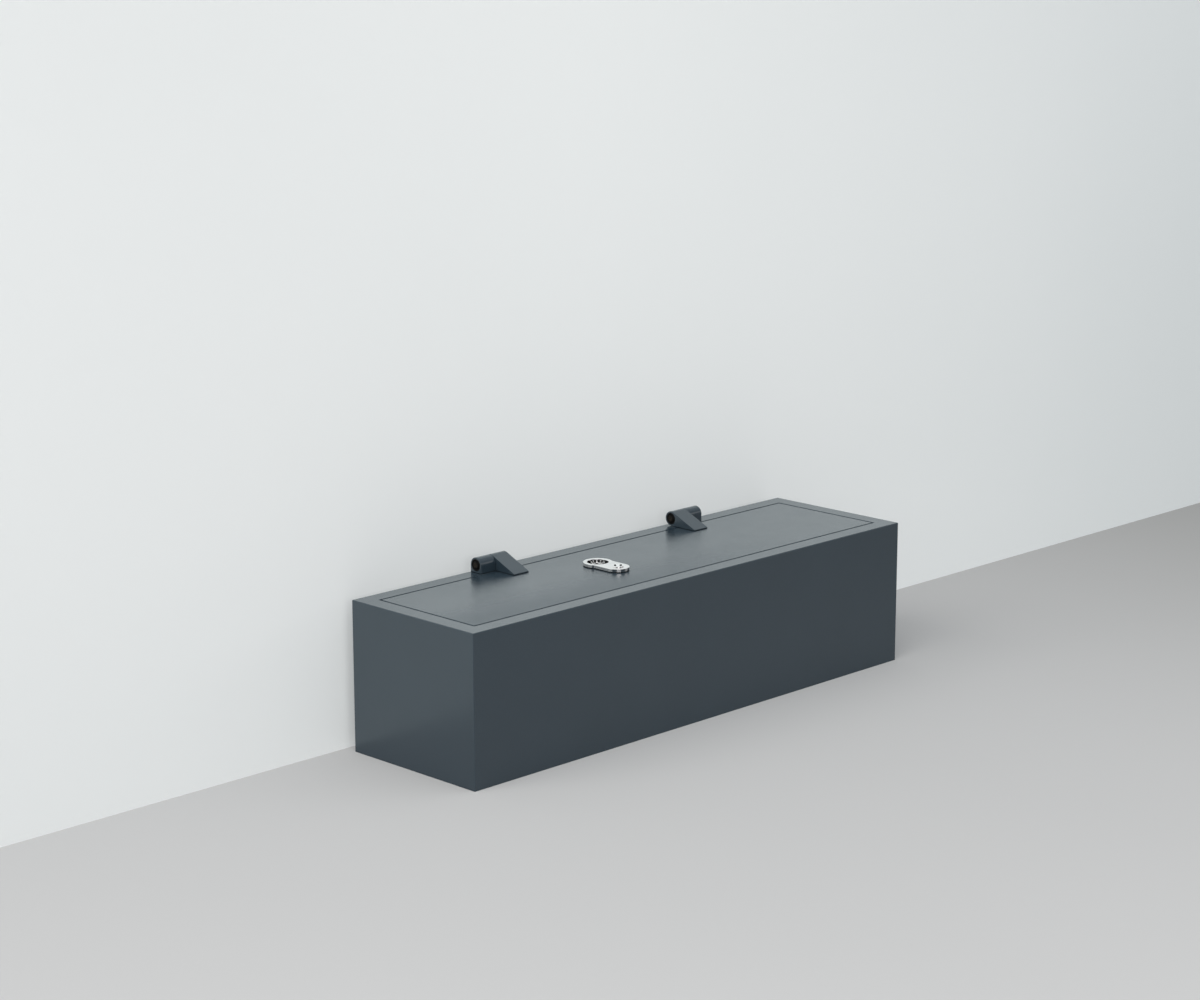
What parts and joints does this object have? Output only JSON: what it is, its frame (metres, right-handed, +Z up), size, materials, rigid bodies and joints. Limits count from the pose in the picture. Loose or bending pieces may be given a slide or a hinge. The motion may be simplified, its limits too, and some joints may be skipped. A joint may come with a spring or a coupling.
{
  "type": "security safe",
  "caption": "Long, low steel security chest with a flush top lid on external weld-on hinges, key-driven bolts and a polished lock plate.",
  "frame": {"origin": "middle of the base, on the surface it stands on", "axes": "+X along the length to the right of someone facing the front, +Y from the front to the hinge side, +Z up"},
  "size_m": [1, 0.278, 0.2725],
  "materials": {
    "powder_coat": "anthracite powder coat with a fine orange peel texture",
    "inner_coat": "thinner anthracite coat of the inner parts",
    "chrome": "polished chrome",
    "bare_pin": "bare steel, oiled and darkened",
    "zinc_steel": "zinc plated steel",
    "lock_body": "black cast lock body",
    "bright_steel": "turned bright steel",
    "black_rubber": "matt black rubber"
  },
  "bodies": {
    "chest": {"front_wall": "powder_coat", "rear_wall": "powder_coat", "end_wall_left": "powder_coat", "end_wall_right": "powder_coat", "floor_plate": "inner_coat", "floor_mat": "black_rubber", "anchor_plug_front_left": "black_rubber", "anchor_plug_front_right": "black_rubber", "anchor_plug_rear_left": "black_rubber", "anchor_plug_rear_right": "black_rubber", "frame_front": "powder_coat", "frame_rear": "powder_coat", "frame_left": "powder_coat", "frame_right": "powder_coat", "ledge_front": "inner_coat", "ledge_left": "inner_coat", "ledge_right": "inner_coat", "hinge_knuckle_left": "powder_coat", "hinge_knuckle_right": "powder_coat", "hinge_pin_left": "bare_pin", "hinge_pin_right": "bare_pin"},
    "lid": {"lid_plate": "powder_coat", "lid_rail_front": "inner_coat", "lid_rail_rear": "inner_coat", "lid_rail_left": "inner_coat", "lid_rail_right": "inner_coat", "hinge_strap_left": "powder_coat", "hinge_strap_right": "powder_coat", "fixed_bolt_left": "zinc_steel", "fixed_bolt_centre": "zinc_steel", "fixed_bolt_right": "zinc_steel", "guide_stud_left": "zinc_steel", "guide_stud_right": "zinc_steel", "lock_plate": "chrome", "plate_seal": "black_rubber", "fixing_cap": "chrome", "cap_nut": "zinc_steel", "lock_case": "lock_body", "lock_cover": "zinc_steel", "lock_screw_front_left": "zinc_steel", "lock_screw_front_right": "zinc_steel", "lock_screw_rear_left": "zinc_steel", "lock_screw_rear_right": "zinc_steel", "bolt_cover": "inner_coat", "cover_screw_front_left": "zinc_steel", "cover_screw_front_right": "zinc_steel", "cover_screw_rear_left": "zinc_steel", "cover_screw_rear_right": "zinc_steel"},
    "boltwork": {"bolt_bar": "zinc_steel", "bolt_left": "zinc_steel", "bolt_centre": "zinc_steel", "bolt_right": "zinc_steel", "bar_screw_left": "zinc_steel", "bar_screw_centre": "zinc_steel", "bar_screw_right": "zinc_steel", "bar_screw_rack": "zinc_steel", "rack_bar": "zinc_steel"},
    "key_rotor": {"key_rotor": "bright_steel", "rotor_collar": "bright_steel", "drive_pinion": "zinc_steel"}
  },
  "joints": [
    {"name": "lid_hinge", "type": "hinge", "parent": "chest", "child": "lid", "pos_m": [0.0095, 0.1245, 0.26], "axis": [-1, 0, 0], "range_deg": [0, 100]},
    {"name": "bolt_slide", "type": "slide", "parent": "lid", "child": "boltwork", "axis": [0, -1, 0], "range_m": [0, 0.0226]},
    {"name": "key_turn", "type": "hinge", "parent": "lid", "child": "key_rotor", "pos_m": [-0.0778, 0.0199, 0.24], "axis": [0, 0, 1], "range_deg": [0, 180]}
  ],
  "couplings": [
    {"joint": "key_turn", "follows": "bolt_slide", "rad_per_m": 138.89}
  ]
}
